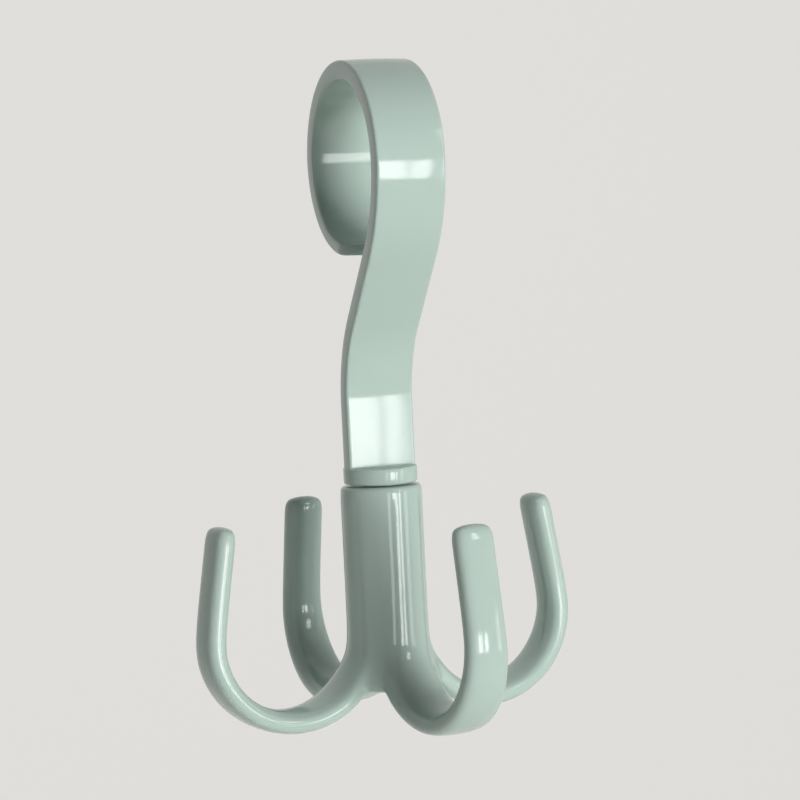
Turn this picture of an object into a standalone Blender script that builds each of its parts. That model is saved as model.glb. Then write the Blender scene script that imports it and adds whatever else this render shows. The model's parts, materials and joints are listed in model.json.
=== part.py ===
"""Rotating closet hook.

A flat strap is bent into an open ring that hangs on a closet rod. Its stem ends in a round
collar with a post below. A hub with four upturned claws turns freely on that post, and a
washer and a screw, hidden in the hub's cored underside, keep the hub on it.

The origin is the highest point of the ring's bore, where the rod carries the hook. X runs
along the rod, +Y is the back, where the ring opens, and +Z is up.
"""

import math
from collections import namedtuple

import bmesh
import bpy
from mathutils import Matrix, Vector

MM = 0.001
DEGREE = math.pi / 180.0

# Ring and strap of the rod hook
RING_BORE_RADIUS = 18.9 * MM
STRAP_WIDTH = 16.6 * MM
STRAP_THICKNESS = 4.5 * MM
STRAP_EDGE_RADIUS = 0.6 * MM
TIP_THICKNESS = 2.9 * MM
TIP_CORNER_RADIUS = 4.0 * MM
TIP_ANGLE = 174.0 * DEGREE
TAPER_START_ANGLE = 90.0 * DEGREE
FRONT_RADIUS = 36.0 * MM
SLOPE_ANGLE = 38.8 * DEGREE
NECK_RADIUS = 28.7 * MM
STEM_DROP = 71.2 * MM
RING_STEPS = 48
FRONT_STEPS = 8
NECK_STEPS = 8
TIP_STEPS = 6
CORNER_STEPS = 5

# Swivel: collar and post of the rod hook
HUB_SETBACK = 6.0 * MM
COLLAR_RADIUS = 8.7 * MM
COLLAR_HEIGHT = 3.7 * MM
COLLAR_EDGE = 0.3 * MM
SHOULDER_RADIUS = 7.6 * MM
POST_RADIUS = 4.2 * MM
POST_LENGTH = 20.0 * MM
POST_CHAMFER = 0.5 * MM
PILOT_DEPTH = 13.0 * MM
TURNED_STEPS = 48

# Clearances between the pieces
SEAM_GAP = 0.5 * MM
SHOULDER_GAP = 0.3 * MM
POST_CLEARANCE = 0.3 * MM
SEAT_GAP = 0.3 * MM
THREAD_CLEARANCE = 0.3 * MM
WASHER_CLEARANCE = 0.5 * MM
CUT_OVERRUN = 3.0 * MM

# Retaining screw and washer
SCREW_CORE_RADIUS = 1.5 * MM
SCREW_SHANK_LENGTH = 12.0 * MM
SCREW_POINT_LENGTH = 2.5 * MM
SCREW_HEAD_RADIUS = 3.8 * MM
SCREW_HEAD_HEIGHT = 2.6 * MM
SCREW_HEAD_RIM = 1.0 * MM
SCREW_DOME_STEPS = 5
SCREW_STEPS = 32
DRIVE_SPAN = 4.0 * MM
DRIVE_SLOT = 1.0 * MM
DRIVE_SLOT_END = 0.7 * MM
DRIVE_DEPTH = 1.3 * MM
WASHER_RADIUS = 6.0 * MM
WASHER_THICKNESS = 1.0 * MM

# Hub with its four claws
CLAW_COUNT = 4
HUB_TURN = 7.0 * DEGREE
HUB_RADIUS = 9.6 * MM
HUB_HEIGHT = 48.2 * MM
HUB_RIM = 0.7 * MM
RECESS_RADIUS = 6.5 * MM
CLAW_ARC_RADIUS = 19.9 * MM
CLAW_ARC_REACH = 25.8 * MM
CLAW_ARC_DROP = 32.9 * MM
CLAW_ROOT_ANGLE = 42.0 * DEGREE
CLAW_LEAN = 9.7 * DEGREE
CLAW_TIP_DROP = 6.1 * MM
CLAW_ROOT_WIDTH = 14.6 * MM
CLAW_WIDTH = 9.7 * MM
CLAW_THICKNESS = 5.4 * MM
CLAW_END_RADIUS = 2.7 * MM
CLAW_ROOT_HEIGHT = 8.4 * MM
CLAW_FILLET_HEIGHT = 6.0 * MM
CLAW_ARC_STEPS = 8
WEB_FLARE = 3.0 * MM
WEB_CLOSING = 8.0 * DEGREE
WEB_RISE = 0.9 * MM

# Cage of the hub and its claws. Corners of a claw's section, in shares of its half sizes:
# the outer face is flatter than the inner one
SIDE_CORNER_SHARE = 0.88
OUTER_CORNER_SHARE = 0.92
INNER_CORNER_SHARE = 0.74
# Sections at a claw's end: distance from the tip, and inset, in shares of the end radius
CLAW_END_SHARES = ((1.9, 0.0), (0.95, 0.0), (0.13, 0.22))
CLAW_DOME_SHARE = 0.32
# Webs between the claws, row by row down the root, in shares of their flare and closing
WEB_SHARES = (0.12, 0.5, 1.0)
BOTTOM_RING_SHARE = 0.72
BOTTOM_CREASE_SHARE = 0.3
CAGE_COLUMNS = 3 * CLAW_COUNT
CAGE_LEVELS = 1
WELD_DISTANCE = 0.01 * MM

# Heights and directions worked out from the sizes above
RING_CENTRE_Z = -RING_BORE_RADIUS
RING_FRONT = -math.pi / 2.0
SLOPE_DIRECTION = RING_FRONT - SLOPE_ANGLE
COLLAR_TOP_Z = RING_CENTRE_Z - STEM_DROP
COLLAR_BOTTOM_Z = COLLAR_TOP_Z - COLLAR_HEIGHT
HUB_TOP_Z = COLLAR_BOTTOM_Z - SEAM_GAP
SHOULDER_Z = HUB_TOP_Z + SHOULDER_GAP
HUB_BOTTOM_Z = HUB_TOP_Z - HUB_HEIGHT
POST_END_Z = COLLAR_BOTTOM_Z - POST_LENGTH
WASHER_TOP_Z = POST_END_Z - SEAT_GAP
WASHER_BOTTOM_Z = WASHER_TOP_Z - WASHER_THICKNESS
LEDGE_Z = WASHER_TOP_Z + SEAT_GAP
SCREW_SEAT_Z = WASHER_BOTTOM_Z - SEAT_GAP
HUB_AXIS = Vector((0.0, HUB_SETBACK, 0.0))

# A section of a claw: its middle, its turn from pointing down, its size, its bend and its dome
Station = namedtuple("Station", "reach height turn width thickness bend dome")

PLASTIC = (0.47, 0.60, 0.54, 1.0)
STEEL = (0.62, 0.62, 0.63, 1.0)


def clear_scene():
    for old in list(bpy.data.objects):
        bpy.data.objects.remove(old, do_unlink=True)


def make_collection(name):
    collection = bpy.data.collections.new(name)
    bpy.context.scene.collection.children.link(collection)
    return collection


def make_material(name, colour, roughness, metallic):
    material = bpy.data.materials.new(name)
    material.use_nodes = True
    shader = material.node_tree.nodes["Principled BSDF"]
    shader.inputs["Base Color"].default_value = colour
    shader.inputs["Roughness"].default_value = roughness
    shader.inputs["Metallic"].default_value = metallic
    return material


def add_object(name, mesh, collection, material=None):
    piece = bpy.data.objects.new(name, mesh)
    collection.objects.link(piece)
    if material is not None:
        mesh.materials.clear()
        mesh.materials.append(material)
    return piece


def mark_as_cutter(piece):
    piece.hide_render = True
    piece.display_type = "WIRE"


def evaluated_mesh(piece, name):
    """The object's finished mesh in world space, with its doubled points welded."""
    bpy.context.view_layer.update()
    graph = bpy.context.evaluated_depsgraph_get()
    mesh = bpy.data.meshes.new_from_object(piece.evaluated_get(graph))
    mesh.name = name
    mesh.transform(piece.matrix_world)
    builder = bmesh.new()
    builder.from_mesh(mesh)
    bmesh.ops.remove_doubles(builder, verts=builder.verts, dist=WELD_DISTANCE)
    builder.to_mesh(mesh)
    builder.free()
    return mesh


def extruded_outline(name, outline, thickness, matrix, collection):
    """A flat outline, drawn in local X and Y, extruded evenly to both sides of its plane."""
    curve = bpy.data.curves.new(name, "CURVE")
    curve.dimensions = "2D"
    curve.fill_mode = "BOTH"
    curve.extrude = thickness / 2.0
    spline = curve.splines.new("POLY")
    spline.points.add(len(outline) - 1)
    for point, (x, y) in zip(spline.points, outline):
        point.co = (x, y, 0.0, 1.0)
    spline.use_cyclic_u = True
    drawn = bpy.data.objects.new(name, curve)
    collection.objects.link(drawn)
    drawn.matrix_world = matrix
    mesh = evaluated_mesh(drawn, name)
    bpy.data.objects.remove(drawn, do_unlink=True)
    return add_object(name, mesh, collection)


def turned(name, profile, steps, collection, closed=False):
    """A profile of radius and height pairs, turned about the Z axis by a Screw modifier."""
    mesh = bpy.data.meshes.new(name)
    points = [(radius, 0.0, height) for radius, height in profile]
    edges = [(index, index + 1) for index in range(len(points) - 1)]
    if closed:
        edges.append((len(points) - 1, 0))
    mesh.from_pydata(points, edges, [])
    piece = add_object(name, mesh, collection)
    screw = piece.modifiers.new("Turn", "SCREW")
    screw.axis = "Z"
    screw.angle = math.tau
    screw.steps = steps
    screw.render_steps = steps
    screw.use_merge_vertices = True
    screw.merge_threshold = WELD_DISTANCE
    return piece


def add_boolean(piece, cutter, operation):
    cut = piece.modifiers.new(cutter.name, "BOOLEAN")
    cut.operation = operation
    cut.solver = "EXACT"
    cut.object = cutter
    return cut


def shade(mesh, sharp_angle):
    mesh.shade_smooth()
    mesh.set_sharp_from_angle(angle=sharp_angle)


def on_circle(centre, radius, angle):
    """A point in the Y-Z plane, at an angle measured from straight up towards the back."""
    return (centre[0] + radius * math.sin(angle), centre[1] + radius * math.cos(angle))


def strap_depth(angle):
    """The ring's thickness: full over the top and the front, thinning down to the tip."""
    share = max((angle - TAPER_START_ANGLE) / (TIP_ANGLE - TAPER_START_ANGLE), 0.0)
    return STRAP_THICKNESS + share * (TIP_THICKNESS - STRAP_THICKNESS)


def front_centre():
    """Centre of the wide arc that carries the ring's front down into the slope."""
    return (FRONT_RADIUS - RING_BORE_RADIUS - STRAP_THICKNESS, RING_CENTRE_Z)


def neck_centre():
    """Centre of the bend that turns the strap's slope back into the upright stem."""
    start = on_circle(front_centre(), FRONT_RADIUS, SLOPE_DIRECTION)
    stem_front = HUB_SETBACK - STRAP_THICKNESS / 2.0
    bend_gain = NECK_RADIUS * (1.0 - math.cos(SLOPE_ANGLE))
    slope = (stem_front - start[0] - bend_gain) / math.sin(SLOPE_ANGLE)
    end = (start[0] + slope * math.sin(SLOPE_ANGLE), start[1] - slope * math.cos(SLOPE_ANGLE))
    return (end[0] - NECK_RADIUS * math.cos(SLOPE_ANGLE), end[1] - NECK_RADIUS * math.sin(SLOPE_ANGLE))


def strap_outline():
    """Side view of the strap as Y and Z pairs: outer side, stem end, inner side, round tip."""
    centre, front, neck = (0.0, RING_CENTRE_Z), front_centre(), neck_centre()
    sweep = [TIP_ANGLE + (RING_FRONT - TIP_ANGLE) * step / RING_STEPS for step in range(RING_STEPS + 1)]
    onset = [RING_FRONT - SLOPE_ANGLE * step / FRONT_STEPS for step in range(1, FRONT_STEPS + 1)]
    bend = [math.pi / 2.0 - SLOPE_ANGLE * (1.0 - step / NECK_STEPS) for step in range(NECK_STEPS + 1)]
    stem_end = COLLAR_TOP_Z - COLLAR_HEIGHT / 2.0
    outer = [on_circle(centre, RING_BORE_RADIUS + strap_depth(angle), angle) for angle in sweep]
    outer += [on_circle(front, FRONT_RADIUS, angle) for angle in onset]
    outer += [on_circle(neck, NECK_RADIUS, angle) for angle in bend]
    outer.append((outer[-1][0], stem_end))
    inner = [on_circle(centre, RING_BORE_RADIUS, angle) for angle in sweep]
    inner += [on_circle(front, FRONT_RADIUS - STRAP_THICKNESS, angle) for angle in onset]
    inner += [on_circle(neck, NECK_RADIUS + STRAP_THICKNESS, angle) for angle in bend]
    inner.append((inner[-1][0], stem_end))
    tip_middle = on_circle(centre, RING_BORE_RADIUS + TIP_THICKNESS / 2.0, TIP_ANGLE)
    tip = []
    for step in range(1, TIP_STEPS):
        angle = TIP_ANGLE + math.pi - math.pi * step / TIP_STEPS
        tip.append(on_circle(tip_middle, TIP_THICKNESS / 2.0, angle))
    return outer + list(reversed(inner)) + tip


def make_strap(name, collection, material):
    """The bent strap, drawn in side view and extruded to its width, with rounded long edges."""
    side_view = Matrix(((0, 0, 1), (1, 0, 0), (0, 1, 0))).to_4x4()
    strap = extruded_outline(name, strap_outline(), STRAP_WIDTH, side_view, collection)
    strap.data.materials.append(material)
    rounding = strap.modifiers.new("Rounded edges", "BEVEL")
    rounding.width = STRAP_EDGE_RADIUS
    rounding.segments = 2
    rounding.limit_method = "ANGLE"
    rounding.angle_limit = 50.0 * DEGREE
    return strap


def tip_front():
    """How far forward, in Y, the round end of the tip reaches."""
    middle = on_circle((0.0, RING_CENTRE_Z), RING_BORE_RADIUS + TIP_THICKNESS / 2.0, TIP_ANGLE)
    return middle[0] - TIP_THICKNESS / 2.0


def make_tip_corner_cutter(name, side, collection):
    """What is cut off one corner of the strap's tip, seen from above, to round it."""
    edge, front, radius = STRAP_WIDTH / 2.0, tip_front(), TIP_CORNER_RADIUS
    overrun = TIP_THICKNESS
    outline = [(side * (edge + overrun), front - overrun), (side * (edge + overrun), front + radius)]
    for step in range(CORNER_STEPS + 1):
        angle = math.pi / 2.0 * step / CORNER_STEPS
        across = edge - radius + radius * math.cos(angle)
        outline.append((side * across, front + radius - radius * math.sin(angle)))
    outline.append((side * (edge - radius), front - overrun))
    middle_z = RING_CENTRE_Z - RING_BORE_RADIUS - TIP_THICKNESS / 2.0
    place = Matrix.Translation((0.0, 0.0, middle_z))
    cutter = extruded_outline(name, outline, TIP_THICKNESS + 2.0 * CUT_OVERRUN, place, collection)
    mark_as_cutter(cutter)
    return cutter


def make_collar_and_post(collection):
    """The collar under the stem, the shoulder that the hub's top runs against, and the post."""
    pilot_radius = SCREW_CORE_RADIUS + THREAD_CLEARANCE
    profile = [
        (0.0, COLLAR_TOP_Z),
        (COLLAR_RADIUS - COLLAR_EDGE, COLLAR_TOP_Z),
        (COLLAR_RADIUS, COLLAR_TOP_Z - COLLAR_EDGE),
        (COLLAR_RADIUS, COLLAR_BOTTOM_Z + COLLAR_EDGE),
        (COLLAR_RADIUS - COLLAR_EDGE, COLLAR_BOTTOM_Z),
        (SHOULDER_RADIUS, COLLAR_BOTTOM_Z),
        (SHOULDER_RADIUS, SHOULDER_Z),
        (POST_RADIUS, SHOULDER_Z),
        (POST_RADIUS, POST_END_Z + POST_CHAMFER),
        (POST_RADIUS - POST_CHAMFER, POST_END_Z),
        (pilot_radius, POST_END_Z),
        (pilot_radius, POST_END_Z + PILOT_DEPTH),
        (0.0, POST_END_Z + PILOT_DEPTH + pilot_radius),
    ]
    piece = turned("collar_and_post", profile, TURNED_STEPS, collection)
    piece.location = HUB_AXIS
    mark_as_cutter(piece)
    return piece


def make_rod_hook(parts, cutters, material):
    hook = make_strap("rod_hook", parts, material)
    for name, side in (("tip_corner_left", -1.0), ("tip_corner_right", 1.0)):
        add_boolean(hook, make_tip_corner_cutter(name, side, cutters), "DIFFERENCE")
    add_boolean(hook, make_collar_and_post(cutters), "UNION")
    shade(hook.data, 30.0 * DEGREE)
    return hook


def arc_station(turn, width, bend):
    """A section on the claw's arc, at a turn measured from the arc's lowest point."""
    reach = CLAW_ARC_REACH + CLAW_ARC_RADIUS * math.sin(turn)
    height = HUB_TOP_Z - CLAW_ARC_DROP - CLAW_ARC_RADIUS * math.cos(turn)
    return Station(reach, height, turn, width, CLAW_THICKNESS, bend, 0.0)


def claw_stations():
    """Sections along one claw from its root, round its arc and up to its domed end."""
    end_turn = math.pi / 2.0 + CLAW_LEAN
    bend = (end_turn + CLAW_ROOT_ANGLE) / CLAW_ARC_STEPS
    stations = []
    for step in range(CLAW_ARC_STEPS):
        width = CLAW_ROOT_WIDTH + (CLAW_WIDTH - CLAW_ROOT_WIDTH) * step / CLAW_ARC_STEPS
        stations.append(arc_station(bend * step - CLAW_ROOT_ANGLE, width, bend))
    foot = arc_station(end_turn, CLAW_WIDTH, 0.0)
    stations.append(foot)
    run = (HUB_TOP_Z - CLAW_TIP_DROP - foot.height) / math.sin(end_turn)
    ends = [(run / 2.0, 0.0)]
    ends += [(run - back * CLAW_END_RADIUS, inset * CLAW_END_RADIUS) for back, inset in CLAW_END_SHARES]
    for distance, inset in ends:
        stations.append(foot._replace(
            reach=foot.reach + distance * math.cos(end_turn),
            height=foot.height + distance * math.sin(end_turn),
            width=CLAW_WIDTH - 2.0 * inset,
            thickness=CLAW_THICKNESS - 2.0 * inset,
        ))
    stations[-1] = stations[-1]._replace(dome=CLAW_DOME_SHARE * CLAW_END_RADIUS)
    return stations


def cage_gain(step_angle):
    """How far a cage must stand outside the round shape that its subdivision settles on."""
    return 6.0 / (4.0 + 2.0 * math.cos(step_angle))


def hub_cage_rows():
    """Rows of the hub's cage from its top rim to its bottom ring: radius, height, share of web."""
    root_top = HUB_BOTTOM_Z + CLAW_ROOT_HEIGHT
    root_middle = HUB_BOTTOM_Z + CLAW_ROOT_HEIGHT / 2.0
    fillet_top = root_top + CLAW_FILLET_HEIGHT
    rows = [
        (HUB_RADIUS - HUB_RIM, HUB_TOP_Z, 0.0),
        (HUB_RADIUS, HUB_TOP_Z - HUB_RIM, 0.0),
        (HUB_RADIUS, (HUB_TOP_Z + fillet_top) / 2.0, 0.0),
        (HUB_RADIUS, fillet_top, 0.0),
    ]
    for height, web in zip((root_top, root_middle, HUB_BOTTOM_Z), WEB_SHARES):
        rows.append((HUB_RADIUS, height, web))
    rows.append((HUB_RADIUS * BOTTOM_RING_SHARE, HUB_BOTTOM_Z, 0.0))
    return rows


def column_angle(column, web=0.0):
    """Direction of a column of the cage: every third is a claw's middle, the others draw
    together into the web between two claws."""
    towards_web = (0.0, 1.0, -1.0)[column % 3]
    return HUB_TURN + math.tau * column / CAGE_COLUMNS + towards_web * web * WEB_CLOSING


def build_hub_body(cage):
    """The hub's wall as rows of a twelve-sided cage, closed by flat faces at top and bottom."""
    gain = cage_gain(math.tau / CAGE_COLUMNS)
    grid = []
    for radius, height, web in hub_cage_rows():
        row = []
        for column in range(CAGE_COLUMNS):
            beside = web if column % 3 else 0.0
            reach = radius * gain + beside * WEB_FLARE
            angle = column_angle(column, web)
            place = (reach * math.cos(angle), reach * math.sin(angle), height + beside * WEB_RISE)
            row.append(cage.verts.new(place))
        grid.append(row)
    faces = {}
    for row in range(len(grid) - 1):
        for column in range(CAGE_COLUMNS):
            after = (column + 1) % CAGE_COLUMNS
            corners = (grid[row][column], grid[row + 1][column], grid[row + 1][after], grid[row][after])
            faces[row, column] = cage.faces.new(corners)
    cage.faces.new(grid[0])
    cage.faces.new(list(reversed(grid[-1])))
    return grid, faces


def crease_rims(cage, grid):
    """Keeps the hub's top rim crisp, and firms the bottom edge of the webs between the claws."""
    crease = cage.edges.layers.float.new("crease_edge")
    bottom = len(grid) - 2
    for column in range(CAGE_COLUMNS):
        after = (column + 1) % CAGE_COLUMNS
        for row in (0, 1):
            cage.edges.get((grid[row][column], grid[row][after]))[crease] = 1.0
        if column % 3 == 1:
            web_edge = cage.edges.get((grid[bottom][column], grid[bottom][after]))
            web_edge[crease] = BOTTOM_CREASE_SHARE


def half_size(size, corner_share, at_corner):
    """Half a section's size in the cage, so that its subdivision settles on that size."""
    gain = 3.0 / (2.0 + corner_share)
    return size / 2.0 * gain * (corner_share if at_corner else 1.0)


def section_points(station, direction):
    """Three by three points of a claw's section, inner side first, for a claw in a direction."""
    away = Vector((math.cos(direction), math.sin(direction), 0.0))
    across = Vector((-math.sin(direction), math.cos(direction), 0.0))
    up = Vector((0.0, 0.0, 1.0))
    outer = away * math.sin(station.turn) - up * math.cos(station.turn)
    onward = away * math.cos(station.turn) + up * math.sin(station.turn)
    middle = away * station.reach + up * station.height
    middle += outer * CLAW_ARC_RADIUS * (cage_gain(station.bend) - 1.0)
    points = []
    for outward, corner_share in ((-1.0, INNER_CORNER_SHARE), (0.0, 1.0), (1.0, OUTER_CORNER_SHARE)):
        for sideways in (-1.0, 0.0, 1.0):
            off = outward * half_size(station.thickness, corner_share, sideways)
            side = sideways * half_size(station.width, SIDE_CORNER_SHARE, outward)
            points.append(middle + outer * off + across * side)
    points[4] += onward * station.dome
    return points


def grow_claw(cage, grid, faces, claw):
    """Extrudes the four wall faces at a claw's root again and again along the claw."""
    middle = 3 * claw
    top = len(grid) - 1 - len(WEB_SHARES)
    around = [(middle - 1) % CAGE_COLUMNS, middle, (middle + 1) % CAGE_COLUMNS]
    region = [faces[row, column] for row in (top, top + 1) for column in around[:2]]
    ring = [grid[row][column] for row in (top, top + 1, top + 2) for column in around]
    for station in claw_stations():
        grown = bmesh.ops.extrude_face_region(cage, geom=region)
        fresh = [item for item in grown["geom"] if isinstance(item, bmesh.types.BMVert)]
        moved = []
        for old in ring:
            match = min(fresh, key=lambda vert: (vert.co - old.co).length)
            fresh.remove(match)
            moved.append(match)
        bmesh.ops.delete(cage, geom=region, context="FACES")
        region = [item for item in grown["geom"] if isinstance(item, bmesh.types.BMFace)]
        ring = moved
        for vert, place in zip(ring, section_points(station, column_angle(middle))):
            vert.co = place


def make_hub_cage(name, collection, material):
    cage = bmesh.new()
    grid, faces = build_hub_body(cage)
    for claw in range(CLAW_COUNT):
        grow_claw(cage, grid, faces, claw)
    crease_rims(cage, grid)
    bmesh.ops.recalc_face_normals(cage, faces=cage.faces)
    bmesh.ops.translate(cage, verts=cage.verts, vec=HUB_AXIS)
    mesh = bpy.data.meshes.new(name)
    cage.to_mesh(mesh)
    cage.free()
    return add_object(name, mesh, collection, material)


def make_hub_core(collection):
    """The hollow of the hub: the bore round the post, and the wide recess below its ledge."""
    bore_radius = POST_RADIUS + POST_CLEARANCE
    profile = [
        (0.0, HUB_TOP_Z + CUT_OVERRUN),
        (bore_radius, HUB_TOP_Z + CUT_OVERRUN),
        (bore_radius, LEDGE_Z),
        (RECESS_RADIUS, LEDGE_Z),
        (RECESS_RADIUS, HUB_BOTTOM_Z - CUT_OVERRUN),
        (0.0, HUB_BOTTOM_Z - CUT_OVERRUN),
    ]
    core = turned("hub_core", profile, TURNED_STEPS, collection)
    core.location = HUB_AXIS
    mark_as_cutter(core)
    return core


def make_claw_hub(parts, cutters, material):
    hub = make_hub_cage("claw_hub", parts, material)
    smooth = hub.modifiers.new("Smooth form", "SUBSURF")
    smooth.levels = CAGE_LEVELS
    smooth.render_levels = CAGE_LEVELS
    add_boolean(hub, make_hub_core(cutters), "DIFFERENCE")
    shade(hub.data, 35.0 * DEGREE)
    return hub


def make_washer(parts, material):
    """Flat washer on the post's end, wide enough to carry the hub's ledge."""
    hole_radius = SCREW_CORE_RADIUS + WASHER_CLEARANCE
    profile = [
        (WASHER_RADIUS, WASHER_TOP_Z),
        (WASHER_RADIUS, WASHER_BOTTOM_Z),
        (hole_radius, WASHER_BOTTOM_Z),
        (hole_radius, WASHER_TOP_Z),
    ]
    washer = turned("swivel_washer", profile, SCREW_STEPS, parts, closed=True)
    washer.data.materials.append(material)
    washer.location = HUB_AXIS
    shade(washer.data, 30.0 * DEGREE)
    return washer


def make_drive_cutter(collection):
    """A cross for the screw's drive, cut up into the head from below."""
    far, near, end = DRIVE_SPAN / 2.0, DRIVE_SLOT / 2.0, DRIVE_SLOT_END / 2.0
    outline = [
        (far, -end), (far, end), (near, near), (end, far), (-end, far), (-near, near),
        (-far, end), (-far, -end), (-near, -near), (-end, -far), (end, -far), (near, -near),
    ]
    head_bottom = SCREW_SEAT_Z - SCREW_HEAD_HEIGHT
    middle = HUB_AXIS + Vector((0.0, 0.0, head_bottom + DRIVE_DEPTH / 2.0 - CUT_OVERRUN / 2.0))
    depth = DRIVE_DEPTH + CUT_OVERRUN
    cutter = extruded_outline("screw_drive", outline, depth, Matrix.Translation(middle), collection)
    mark_as_cutter(cutter)
    return cutter


def make_pivot_screw(parts, cutters, material):
    """Pan-head screw, driven up into the post from below."""
    tip_z = SCREW_SEAT_Z + SCREW_SHANK_LENGTH
    rim_z = SCREW_SEAT_Z - SCREW_HEAD_RIM
    dome = SCREW_HEAD_HEIGHT - SCREW_HEAD_RIM
    profile = [
        (0.0, tip_z),
        (SCREW_CORE_RADIUS, tip_z - SCREW_POINT_LENGTH),
        (SCREW_CORE_RADIUS, SCREW_SEAT_Z),
        (SCREW_HEAD_RADIUS, SCREW_SEAT_Z),
    ]
    for step in range(SCREW_DOME_STEPS + 1):
        angle = math.pi / 2.0 * step / SCREW_DOME_STEPS
        profile.append((SCREW_HEAD_RADIUS * math.cos(angle), rim_z - dome * math.sin(angle)))
    profile[-1] = (0.0, rim_z - dome)
    screw = turned("pivot_screw", profile, SCREW_STEPS, parts)
    screw.data.materials.append(material)
    screw.location = HUB_AXIS
    add_boolean(screw, make_drive_cutter(cutters), "DIFFERENCE")
    shade(screw.data, 30.0 * DEGREE)
    return screw


def main():
    clear_scene()
    parts = make_collection("rotating_closet_hook")
    cutters = make_collection("cutters")
    plastic = make_material("moulded_plastic", PLASTIC, 0.22, 0.0)
    hub_plastic = make_material("moulded_plastic_hub", PLASTIC, 0.22, 0.0)
    steel = make_material("zinc_plated_steel", STEEL, 0.35, 1.0)
    washer_steel = make_material("washer_steel", STEEL, 0.40, 1.0)
    make_rod_hook(parts, cutters, plastic)
    make_claw_hub(parts, cutters, hub_plastic)
    make_washer(parts, washer_steel)
    make_pivot_screw(parts, cutters, steel)


main()
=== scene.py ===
"""Looks of the rotating closet hook: glossy sage mouldings on a zinc-plated swivel.

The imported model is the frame. The two mouldings are modelled again here with their rounded
edges, crowned faces and smooth blends, the screw gets its thread and its cross recess, and
every surface gets a procedural finish.
"""

import json
import math
from collections import namedtuple

import bmesh
import bpy
from mathutils import Matrix, Vector


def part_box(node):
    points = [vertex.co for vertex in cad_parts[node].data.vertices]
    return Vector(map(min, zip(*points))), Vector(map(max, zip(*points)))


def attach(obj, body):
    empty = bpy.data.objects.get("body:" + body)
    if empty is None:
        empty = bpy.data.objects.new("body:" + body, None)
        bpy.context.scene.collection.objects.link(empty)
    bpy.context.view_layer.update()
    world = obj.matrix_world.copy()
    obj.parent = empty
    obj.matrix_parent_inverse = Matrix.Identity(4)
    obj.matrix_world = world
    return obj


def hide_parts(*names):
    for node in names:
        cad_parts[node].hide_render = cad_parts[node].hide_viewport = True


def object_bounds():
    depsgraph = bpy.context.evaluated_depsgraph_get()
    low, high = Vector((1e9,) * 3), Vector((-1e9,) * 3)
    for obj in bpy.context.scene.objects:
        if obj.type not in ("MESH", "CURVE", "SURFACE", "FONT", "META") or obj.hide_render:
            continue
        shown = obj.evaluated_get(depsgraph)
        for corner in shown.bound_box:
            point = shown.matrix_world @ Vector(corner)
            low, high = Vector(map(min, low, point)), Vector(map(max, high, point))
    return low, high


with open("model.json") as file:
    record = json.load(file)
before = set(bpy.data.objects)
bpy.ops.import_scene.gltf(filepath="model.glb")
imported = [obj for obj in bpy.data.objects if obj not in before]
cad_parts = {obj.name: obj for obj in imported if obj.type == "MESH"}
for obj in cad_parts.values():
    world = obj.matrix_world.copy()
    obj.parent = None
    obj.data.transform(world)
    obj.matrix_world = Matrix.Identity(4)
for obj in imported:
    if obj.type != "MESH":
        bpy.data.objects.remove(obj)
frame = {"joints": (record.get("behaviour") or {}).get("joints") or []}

MM = 0.001
DEGREE = math.pi / 180.0
CAD_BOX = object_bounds()
SWIVEL = frame["joints"][0]["pos_m"]
HOOK_LOW, HOOK_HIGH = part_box("rod_hook")
WASHER_LOW, WASHER_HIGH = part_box("swivel_washer")
SCREW_LOW, SCREW_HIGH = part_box("pivot_screw")

# All pieces: facets of a turned piece and of its rounded corners, the distance at which points
# are welded, and the angles past which an edge stays sharp
TURNED_STEPS = 128
EDGE_STEPS = 4
WELD_DISTANCE = 0.01 * MM
SHARP_ANGLE = 30.0 * DEGREE
HUB_SHARP_ANGLE = 35.0 * DEGREE

# Strap of the hook, seen from the side: Y runs to the back, Z up, the bore's top at zero
STRAP_THICKNESS = HOOK_HIGH[2]
STRAP_WIDTH = 16.6 * MM
RING_BORE_RADIUS = 18.9 * MM
RING_CENTRE_Z = -RING_BORE_RADIUS
TIP_THICKNESS = 2.9 * MM
TIP_CORNER_RADIUS = 4.0 * MM
TIP_START = 0.02 * MM
TIP_ANGLE = 174.0 * DEGREE
TAPER_START_ANGLE = 90.0 * DEGREE
FRONT_RADIUS = 36.0 * MM
SLOPE_ANGLE = 38.8 * DEGREE
NECK_RADIUS = 28.7 * MM
STRAP_CORNER_RADIUS = 0.6 * MM
STRAP_CORNER_LIMIT = 0.45
STRAP_CROWN = 0.2 * MM
STRAP_CROWN_LIMIT = 0.1
STRAP_SUPPORT = 0.15 * MM
OUTER_FACE_SHARES = (0.3, 0.6)
BORE_FACE_SHARE = 0.5
RING_STEPS = 116
FRONT_STEPS = 18
SLOPE_STEPS = 10
NECK_STEPS = 18
STEM_STEPS = 10
CORNER_STEPS = 5

# Collar, shoulder and post
COLLAR_RADIUS = HOOK_HIGH[0]
COLLAR_HEIGHT = 3.7 * MM
COLLAR_EDGE = 0.35 * MM
SEAM_GAP = 0.5 * MM
SHOULDER_RADIUS = 7.6 * MM
SHOULDER_GAP = 0.3 * MM
POST_RADIUS = 4.2 * MM
POST_CHAMFER = 0.5 * MM
PILOT_RADIUS = 1.8 * MM
PILOT_DEPTH = 13.0 * MM
HUB_SETBACK = SWIVEL[1]
HUB_TOP_Z = SWIVEL[2]
COLLAR_BOTTOM_Z = HUB_TOP_Z + SEAM_GAP
COLLAR_TOP_Z = COLLAR_BOTTOM_Z + COLLAR_HEIGHT
SHOULDER_Z = HUB_TOP_Z + SHOULDER_GAP
POST_END_Z = HOOK_LOW[2]

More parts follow.
